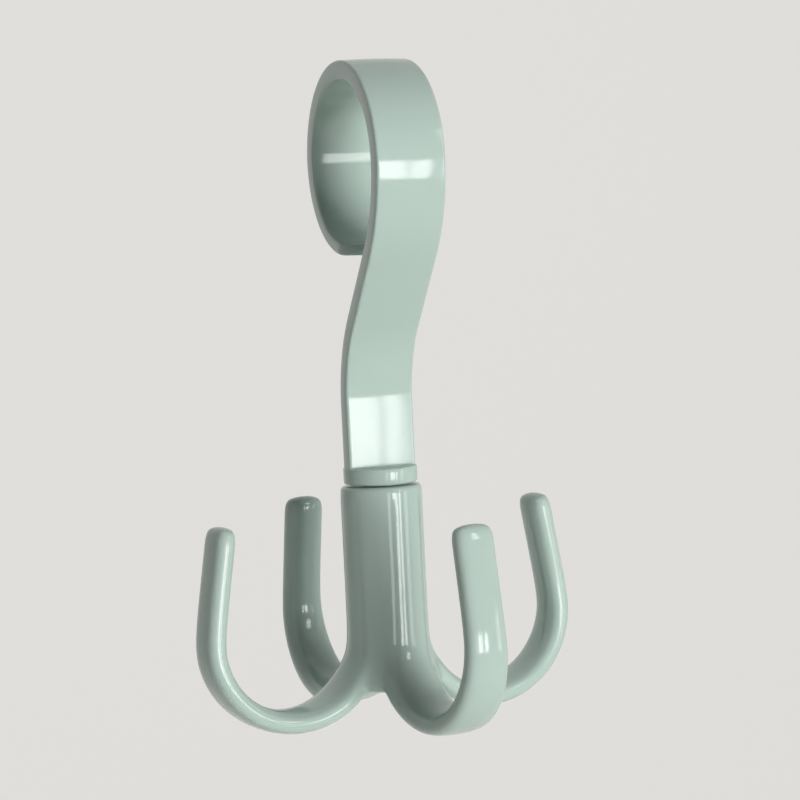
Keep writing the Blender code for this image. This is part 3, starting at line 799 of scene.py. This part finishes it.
def make_claw_moulding(repeat_tree, finish):
    """Hub and claws in one smooth form: a quarter cage repeated, welded, subdivided and bored."""
    hub = mesh_object("claw_moulding", make_quarter_cage())
    hub.location = (0.0, HUB_SETBACK, 0.0)
    values = {"Count": CLAW_COUNT, "Turn": HUB_TURN, "Weld Distance": WELD_DISTANCE, "Finish": finish}
    add_tree(hub, repeat_tree, values)
    smooth = hub.modifiers.new("Smooth form", "SUBSURF")
    smooth.levels = HUB_LEVELS
    smooth.render_levels = HUB_LEVELS
    hub = with_boolean(applied(hub), make_hub_core(), "DIFFERENCE")
    shade(hub, HUB_SHARP_ANGLE)
    return hub


def make_washer():
    """Pressed washer: its upper edges are rolled by the punch, its lower ones are nearly sharp."""
    top, bottom = WASHER_HIGH[2], WASHER_LOW[2]
    profile = upper_corner(WASHER_RADIUS, top, WASHER_TOP_EDGE)
    profile += lower_corner(WASHER_RADIUS, bottom, WASHER_BOTTOM_EDGE)
    for face, edge, way_out in ((bottom, WASHER_BOTTOM_EDGE, -1.0), (top, WASHER_TOP_EDGE, 1.0)):
        for step in range(WASHER_EDGE_STEPS + 1):
            share = step / WASHER_EDGE_STEPS if way_out < 0.0 else 1.0 - step / WASHER_EDGE_STEPS
            angle = math.pi / 2.0 * share
            radius = WASHER_HOLE_RADIUS + edge * (1.0 - math.sin(angle))
            profile.append((radius, face - way_out * edge * (1.0 - math.cos(angle))))
    washer = turned("pressed_washer", profile, closed=True)
    shade(washer, SHARP_ANGLE)
    return washer


def make_screw_head():
    """Pan head from its seat, round its rim and down its dome to the middle."""
    rim_z = SCREW_SEAT_Z - SCREW_HEAD_RIM
    dome = rim_z - SCREW_LOW[2]
    profile = [(0.0, SCREW_SEAT_Z)]
    profile += upper_corner(SCREW_HEAD_RADIUS, SCREW_SEAT_Z, SCREW_HEAD_EDGE)
    for step in range(SCREW_DOME_STEPS):
        angle = math.pi / 2.0 * step / SCREW_DOME_STEPS
        profile.append((SCREW_HEAD_RADIUS * math.cos(angle), rim_z - dome * math.sin(angle)))
    profile.append((0.0, rim_z - dome))
    return turned("threaded_screw", profile)


def make_recess_wing():
    """One wing of the cross recess: full size at the head's face, narrow at its floor, and
    widening as far below the face, so that it cuts right through it."""
    face_z = SCREW_LOW[2]
    levels = (
        (face_z - RECESS_DEPTH, 2.0 - RECESS_FLOOR_SHARE),
        (face_z + RECESS_DEPTH, RECESS_FLOOR_SHARE),
    )
    wing = bmesh.new()
    rows = []
    for height, share in levels:
        reach = RECESS_SPAN / 2.0 * share
        near = RECESS_SLOT / 2.0 * share
        end = RECESS_SLOT_END / 2.0 * share
        outline = ((0.0, 0.0), (near, -near), (reach, -end), (reach, end), (near, near))
        rows.append([wing.verts.new((across, along, height)) for across, along in outline])
    low, high = rows
    # The two sides at the axis stay open, because the wings are welded there
    for index in range(1, len(low) - 1):
        wing.faces.new((low[index], low[index + 1], high[index + 1], high[index]))
    wing.faces.new(list(reversed(low)))
    wing.faces.new(high)
    mesh = bpy.data.meshes.new("recess_wing")
    wing.to_mesh(mesh)
    wing.free()
    return mesh


def make_screw(repeat_tree, finish):
    """Threaded shank joined to the pan head, with the cross recess cut up into the head."""
    length = SCREW_TIP_Z - SCREW_SEAT_Z + SCREW_SHANK_SINK
    shank = mesh_object("screw_shank", bpy.data.meshes.new("screw_shank"))
    add_tree(shank, threaded_shank_tree(), {
        "Core Radius": SCREW_CORE_RADIUS,
        "Thread Height": THREAD_HEIGHT,
        "Pitch": THREAD_PITCH,
        "Ridge Share": THREAD_RIDGE_SHARE,
        "Length": length,
        "Point Length": SCREW_POINT_LENGTH,
        "Columns": THREAD_COLUMNS,
        "Rows": THREAD_ROWS,
        "Finish": finish,
    })
    shank.location = (0.0, HUB_SETBACK, SCREW_TIP_Z - length / 2.0)
    screw = with_boolean(make_screw_head(), applied(shank), "UNION")
    recess = mesh_object("cross_recess", make_recess_wing())
    recess.location = (0.0, HUB_SETBACK, 0.0)
    values = {"Count": RECESS_WINGS, "Turn": RECESS_TURN, "Weld Distance": WELD_DISTANCE, "Finish": finish}
    add_tree(recess, repeat_tree, values)
    screw = with_boolean(screw, applied(recess), "DIFFERENCE")
    shade(screw, SHARP_ANGLE)
    return screw


def bore_rub(place):
    """How much the ring is rubbed here: most at the top of its bore, nothing at the sides."""
    height = place.z - RING_CENTRE_Z
    depth = math.hypot(place.y, height) - RING_BORE_RADIUS
    angle = abs(math.atan2(place.y, height))
    return max(1.0 - angle / BORE_RUB_ANGLE, 0.0) if depth < BORE_RUB_DEPTH else 0.0


def claw_rub(place):
    """How much a claw is rubbed here: most on the upper side of its lowest bend."""
    away = math.hypot(place.x, place.y - HUB_SETBACK) - CLAW_ARC_REACH
    drop = HUB_TOP_Z - CLAW_ARC_DROP - place.z
    depth = math.hypot(away, drop) - (CLAW_ARC_RADIUS - CLAW_THICKNESS / 2.0)
    angle = abs(math.atan2(away, drop))
    return max(1.0 - angle / CLAW_RUB_ANGLE, 0.0) * max(1.0 - depth / CLAW_RUB_DEPTH, 0.0)


def mark_rub(piece, rub_at):
    """Keeps on each point of a moulding how much its polish is rubbed, as the value rub."""
    rub = piece.data.attributes.new("rub", "FLOAT", "POINT")
    for vertex in piece.data.vertices:
        rub.data[vertex.index].value = min(rub_at(vertex.co), 1.0)


def moulded_skin_group():
    """Skin of a glossy moulding: pigment drift, flow waves, fine peel, rubbed hairlines."""
    inputs = (
        ("Place", "Vector"), ("Pigment", "Color"), ("Pigment Drift", "Color"),
        ("Polish", "Float"), ("Rub", "Float"),
    )
    outputs = (("Colour", "Color"), ("Roughness", "Float"), ("Height", "Float"))
    tree, given, made = new_tree("moulded_skin", "ShaderNodeTree", inputs, outputs)
    nodes, links = tree.nodes, tree.links

    def noise(scale, detail, stretch=None):
        texture = nodes.new("ShaderNodeTexNoise")
        texture.inputs["Scale"].default_value = scale
        texture.inputs["Detail"].default_value = detail
        source = given.outputs["Place"]
        if stretch:
            mapping = nodes.new("ShaderNodeMapping")
            mapping.inputs["Scale"].default_value = stretch
            links.new(source, mapping.inputs["Vector"])
            source = mapping.outputs["Vector"]
        links.new(source, texture.inputs["Vector"])
        return texture.outputs["Fac"]

    drift = noise(DRIFT_SCALE, DRIFT_DETAIL)
    flow = noise(FLOW_SCALE, FLOW_DETAIL, FLOW_STRETCH)
    peel = noise(PEEL_SCALE, PEEL_DETAIL)
    smear = noise(SMEAR_SCALE, SMEAR_DETAIL, SMEAR_STRETCH)
    hairline = noise(HAIRLINE_SCALE, HAIRLINE_DETAIL, HAIRLINE_STRETCH)
    hairline_cross = noise(HAIRLINE_SCALE, HAIRLINE_DETAIL, HAIRLINE_CROSS_STRETCH)

    blend = nodes.new("ShaderNodeMix")
    blend.data_type = "RGBA"
    links.new(drift, blend.inputs["Factor"])
    links.new(given.outputs["Pigment"], blend.inputs["A"])
    links.new(given.outputs["Pigment Drift"], blend.inputs["B"])
    links.new(blend.outputs["Result"], made.inputs["Colour"])

    scratch = nodes.new("ShaderNodeMapRange")
    scratch.inputs["From Min"].default_value = HAIRLINE_FROM
    scratch.inputs["From Max"].default_value = HAIRLINE_TO
    links.new(math_node(tree, "MAXIMUM", hairline, hairline_cross), scratch.inputs["Value"])
    scratches = scratch.outputs["Result"]
    smeared = math_node(tree, "MULTIPLY_ADD", smear, SMEAR_ROUGHNESS, given.outputs["Polish"])
    scratched = math_node(tree, "MULTIPLY_ADD", scratches, HAIRLINE_ROUGHNESS, smeared)
    uneven_rub = math_node(tree, "MULTIPLY", given.outputs["Rub"], smear)
    rubbed = math_node(tree, "MULTIPLY_ADD", uneven_rub, RUB_ROUGHNESS, scratched)
    links.new(rubbed, made.inputs["Roughness"])

    fine = math_node(tree, "MULTIPLY_ADD", peel, PEEL_SHARE, flow)
    scored = math_node(tree, "MULTIPLY_ADD", scratches, HAIRLINE_DEPTH, fine)
    links.new(scored, made.inputs["Height"])
    return tree


def new_material(name):
    material = bpy.data.materials.new(name)
    material.use_nodes = True
    return material, material.node_tree.nodes, material.node_tree.links


def glossy_plastic(name, skin_group):
    """Glossy moulded plastic in one pigment, with the skin of a moulding."""
    material, nodes, links = new_material(name)
    shader = nodes["Principled BSDF"]
    shader.inputs["IOR"].default_value = PLASTIC_IOR
    place = nodes.new("ShaderNodeTexCoord")
    skin = nodes.new("ShaderNodeGroup")
    skin.node_tree = skin_group
    skin.inputs["Pigment"].default_value = SAGE
    skin.inputs["Pigment Drift"].default_value = SAGE_DRIFT
    skin.inputs["Polish"].default_value = PLASTIC_POLISH
    rub = nodes.new("ShaderNodeAttribute")
    rub.attribute_name = "rub"
    links.new(place.outputs["Object"], skin.inputs["Place"])
    links.new(rub.outputs["Fac"], skin.inputs["Rub"])
    links.new(skin.outputs["Colour"], shader.inputs["Base Color"])
    links.new(skin.outputs["Roughness"], shader.inputs["Roughness"])
    bump = nodes.new("ShaderNodeBump")
    bump.inputs["Distance"].default_value = PLASTIC_BUMP
    links.new(skin.outputs["Height"], bump.inputs["Height"])
    links.new(bump.outputs["Normal"], shader.inputs["Normal"])
    return material


def plated_steel(name, roughness):
    """Zinc-plated steel: turning marks round the axis, blotches of dull plating."""
    material, nodes, links = new_material(name)
    shader = nodes["Principled BSDF"]
    shader.inputs["Metallic"].default_value = 1.0
    place = nodes.new("ShaderNodeTexCoord")
    blotch = nodes.new("ShaderNodeTexNoise")
    blotch.inputs["Scale"].default_value = BLOTCH_SCALE
    blotch.inputs["Detail"].default_value = BLOTCH_DETAIL
    tone = nodes.new("ShaderNodeValToRGB")
    tone.color_ramp.elements[0].position = DULL_UP_TO
    tone.color_ramp.elements[0].color = tuple(value * DULL_SHADE for value in ZINC[:3]) + (1.0,)
    tone.color_ramp.elements[1].position = BRIGHT_FROM
    tone.color_ramp.elements[1].color = ZINC
    dull = nodes.new("ShaderNodeMapRange")
    dull.inputs["To Min"].default_value = roughness
    dull.inputs["To Max"].default_value = roughness + DULL_ROUGHNESS
    marks = nodes.new("ShaderNodeMapping")
    marks.inputs["Location"].default_value = (0.0, -HUB_SETBACK, 0.0)
    rings = nodes.new("ShaderNodeTexWave")
    rings.wave_type = "RINGS"
    rings.rings_direction = "Z"
    rings.inputs["Scale"].default_value = TURNING_MARKS_SCALE
    rings.inputs["Distortion"].default_value = TURNING_MARKS_WAVER
    bump = nodes.new("ShaderNodeBump")
    bump.inputs["Distance"].default_value = STEEL_BUMP
    links.new(place.outputs["Object"], blotch.inputs["Vector"])
    links.new(blotch.outputs["Fac"], tone.inputs["Fac"])
    links.new(tone.outputs["Color"], shader.inputs["Base Color"])
    links.new(blotch.outputs["Fac"], dull.inputs["Value"])
    links.new(dull.outputs["Result"], shader.inputs["Roughness"])
    links.new(place.outputs["Object"], marks.inputs["Vector"])
    links.new(marks.outputs["Vector"], rings.inputs["Vector"])
    links.new(rings.outputs["Fac"], bump.inputs["Height"])
    links.new(bump.outputs["Normal"], shader.inputs["Normal"])
    return material


def paint(piece, material):
    piece.data.materials.clear()
    piece.data.materials.append(material)


def seen_or_reflected(tree):
    """1 for rays from the camera, from a reflection or through a clear piece, 0 for others."""
    path = tree.nodes.new("ShaderNodeLightPath")
    seen = math_node(tree, "MAXIMUM", path.outputs["Is Camera Ray"], path.outputs["Is Glossy Ray"])
    return math_node(tree, "MAXIMUM", seen, path.outputs["Is Transmission Ray"])


def matt_paper():
    """Matt paper. What is seen of it is mostly its own pale colour, and the rest keeps the
    shadow."""
    material, nodes, links = new_material("studio_paper")
    shader = nodes["Principled BSDF"]
    shader.inputs["Base Color"].default_value = PAPER_COLOUR
    shader.inputs["Roughness"].default_value = PAPER_ROUGHNESS
    shader.inputs["Specular IOR Level"].default_value = PAPER_GLOSS
    pale = nodes.new("ShaderNodeEmission")
    pale.inputs["Color"].default_value = PALE_COLOUR
    pale.inputs["Strength"].default_value = PAPER_PALE_STRENGTH
    seen = seen_or_reflected(material.node_tree)
    pale_share = math_node(material.node_tree, "MULTIPLY", seen, PALE_SHARE)
    mix = nodes.new("ShaderNodeMixShader")
    links.new(pale_share, mix.inputs["Fac"])
    links.new(shader.outputs[0], mix.inputs[1])
    links.new(pale.outputs[0], mix.inputs[2])
    links.new(mix.outputs[0], nodes["Material Output"].inputs["Surface"])
    return material


def make_paper():
    """Pale paper under the hook, swept up behind it."""
    low = CAD_BOX[0][2] - FLOOR_DROP
    outline = [(-PAPER_DEPTH, low), (PAPER_DEPTH - PAPER_BEND, low)]
    for step in range(1, PAPER_STEPS + 1):
        angle = math.pi / 2.0 * step / PAPER_STEPS
        depth = PAPER_DEPTH - PAPER_BEND + PAPER_BEND * math.sin(angle)
        outline.append((depth, low + PAPER_BEND - PAPER_BEND * math.cos(angle)))
    outline.append((PAPER_DEPTH, low + PAPER_RISE))
    sheet = bmesh.new()
    rows = []
    for across in (-PAPER_WIDTH / 2.0, PAPER_WIDTH / 2.0):
        rows.append([sheet.verts.new((across, depth, height)) for depth, height in outline])
    left, right = rows
    for index in range(len(outline) - 1):
        sheet.faces.new((left[index], right[index], right[index + 1], left[index + 1]))
    mesh = bpy.data.meshes.new("studio_paper")
    sheet.to_mesh(mesh)
    sheet.free()
    mesh.shade_smooth()
    paper = mesh_object("studio_paper", mesh)
    paint(paper, matt_paper())


def make_world():
    """Even light from all round, which shows pale where it is seen or reflected."""
    world = bpy.data.worlds.new("studio")
    world.use_nodes = True
    nodes, links = world.node_tree.nodes, world.node_tree.links
    ambient = nodes["Background"]
    ambient.inputs["Color"].default_value = AMBIENT_COLOUR
    ambient.inputs["Strength"].default_value = AMBIENT_STRENGTH
    pale = nodes.new("ShaderNodeBackground")
    pale.inputs["Color"].default_value = PALE_COLOUR
    mix = nodes.new("ShaderNodeMixShader")
    links.new(seen_or_reflected(world.node_tree), mix.inputs["Fac"])
    links.new(ambient.outputs[0], mix.inputs[1])
    links.new(pale.outputs[0], mix.inputs[2])
    links.new(mix.outputs[0], nodes["World Output"].inputs["Surface"])
    bpy.context.scene.world = world


def area_light(name, azimuth, elevation, width, height, radiance, mirrored, lighting):
    """A soft light that faces the hook, mirrored in its gloss, lighting it, or both."""
    light = bpy.data.lights.new(name, "AREA")
    light.shape = "RECTANGLE"
    light.size = width
    light.size_y = height
    light.energy = radiance * math.pi * width * height
    lamp = bpy.data.objects.new(name, light)
    bpy.context.scene.collection.objects.link(lamp)
    level = LIGHT_DISTANCE * math.cos(elevation)
    rise = LIGHT_DISTANCE * math.sin(elevation)
    away = Vector((level * math.sin(azimuth), -level * math.cos(azimuth), rise))
    lamp.location = LIGHT_TARGET + away
    lamp.rotation_mode = "QUATERNION"
    lamp.rotation_quaternion = away.to_track_quat("Z", "Y")
    lamp.visible_camera = False
    lamp.visible_glossy = mirrored
    lamp.visible_diffuse = lighting


def make_lights():
    """Bright panes at the right front, strips beside them, and broad soft lights."""
    for name, first, last, low, high, radiance, mirrored, lighting in LIGHTS:
        azimuth = (first + last) / 2.0 * DEGREE
        elevation = (low + high) / 2.0 * DEGREE
        width = 2.0 * LIGHT_DISTANCE * math.tan((last - first) / 2.0 * DEGREE)
        height = 2.0 * LIGHT_DISTANCE * math.tan((high - low) / 2.0 * DEGREE)
        area_light(name, azimuth, elevation, width, height, radiance, mirrored, lighting)


def make_camera():
    """The photograph's view: turned to the left front, a little above, leaning slightly."""
    side = Vector((math.cos(CAMERA_AZIMUTH), -math.sin(CAMERA_AZIMUTH), 0.0))
    ahead = Vector((
        math.sin(CAMERA_AZIMUTH) * math.cos(CAMERA_ELEVATION),
        math.cos(CAMERA_AZIMUTH) * math.cos(CAMERA_ELEVATION),
        -math.sin(CAMERA_ELEVATION),
    ))
    above = side.cross(ahead)
    right = side * math.cos(CAMERA_ROLL) + above * math.sin(CAMERA_ROLL)
    up = above * math.cos(CAMERA_ROLL) - side * math.sin(CAMERA_ROLL)
    ring_centre = Vector((0.0, 0.0, RING_CENTRE_Z))
    place = ring_centre - right * CAMERA_RIGHT - up * CAMERA_UP - ahead * CAMERA_DISTANCE
    camera = bpy.data.cameras.new("photo_view")
    camera.sensor_fit = "HORIZONTAL"
    camera.sensor_width = CAMERA_SENSOR
    camera.lens = CAMERA_LENS
    camera.clip_start = CAMERA_CLIP_NEAR
    camera.clip_end = CAMERA_CLIP_FAR
    holder = bpy.data.objects.new("photo_view", camera)
    bpy.context.scene.collection.objects.link(holder)
    turn = Matrix((right, up, -ahead)).transposed().to_4x4()
    holder.matrix_world = Matrix.Translation(place) @ turn
    bpy.context.scene.camera = holder


def dress(piece, body, node, material):
    """Paints a finished piece and lets it stand for its CAD node on the body that carries it."""
    paint(piece, material)
    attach(piece, body)
    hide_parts(node)


bpy.context.scene.view_settings.view_transform = "Standard"
make_camera()
make_world()
make_lights()
make_paper()

skin_group = moulded_skin_group()
hook_plastic = glossy_plastic("sage_plastic_hook", skin_group)
hub_plastic = glossy_plastic("sage_plastic_hub", skin_group)
washer_steel = plated_steel("zinc_plate_washer", WASHER_ROUGHNESS)
screw_steel = plated_steel("zinc_plate_screw", SCREW_ROUGHNESS)
repeat_tree = repeat_round_axis_tree()

hook_moulding = make_hook_moulding()
mark_rub(hook_moulding, bore_rub)
dress(hook_moulding, "hanger", "rod_hook", hook_plastic)

claw_moulding = make_claw_moulding(repeat_tree, hub_plastic)
mark_rub(claw_moulding, claw_rub)
dress(claw_moulding, "claws", "claw_hub", hub_plastic)

dress(make_washer(), "hanger", "swivel_washer", washer_steel)
dress(make_screw(repeat_tree, screw_steel), "hanger", "pivot_screw", screw_steel)
